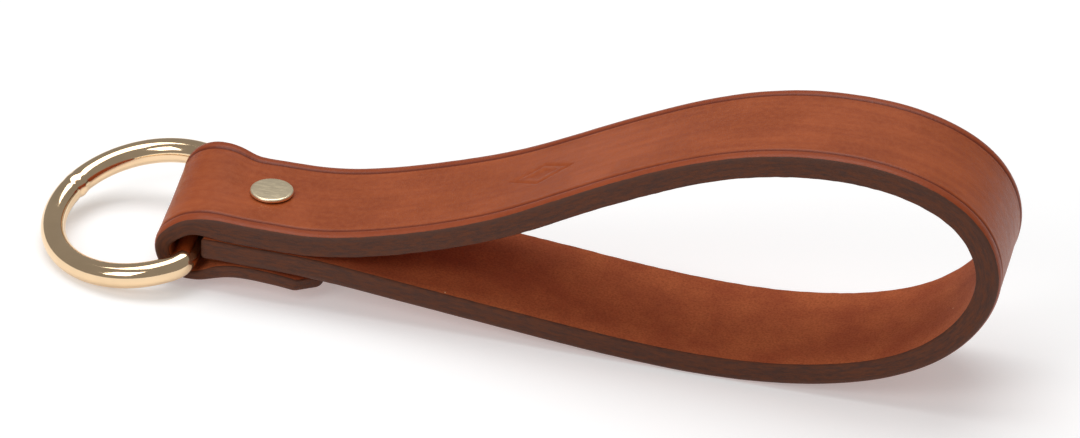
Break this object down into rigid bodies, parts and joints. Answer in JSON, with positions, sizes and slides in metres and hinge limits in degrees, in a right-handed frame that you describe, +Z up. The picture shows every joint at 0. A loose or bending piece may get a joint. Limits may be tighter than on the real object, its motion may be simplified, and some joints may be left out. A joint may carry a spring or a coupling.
{
  "type": "martingale",
  "caption": "Leather loop strap folded back on itself round a metal dee ring and closed by one rivet; links a girth or neck strap to other tack.",
  "frame": {"origin": "on the surface the piece rests on, under the middle of its overall box", "axes": "+X from the ring towards the far end of the loop, +Y across the strap, +Z up"},
  "size_m": [0.1834, 0.0406, 0.0497],
  "materials": {
    "strap_leather": "smooth satin grain side, napped flesh side, burnished dark edges",
    "ring_brass": "polished, pale gold",
    "rivet_brass": "smooth satin, pale gold"
  },
  "bodies": {
    "strap": {"strap": "strap_leather", "rivet_cap": "rivet_brass", "rivet_post": "rivet_brass"},
    "ring": {"dee_ring": "ring_brass"}
  },
  "joints": [
    {"name": "ring_swing", "type": "hinge", "parent": "strap", "child": "ring", "pos_m": [-0.0606, 0, 0.00887], "axis": [-0.0329, 0.9799, 0.1966], "range_deg": [-145, 145]}
  ]
}
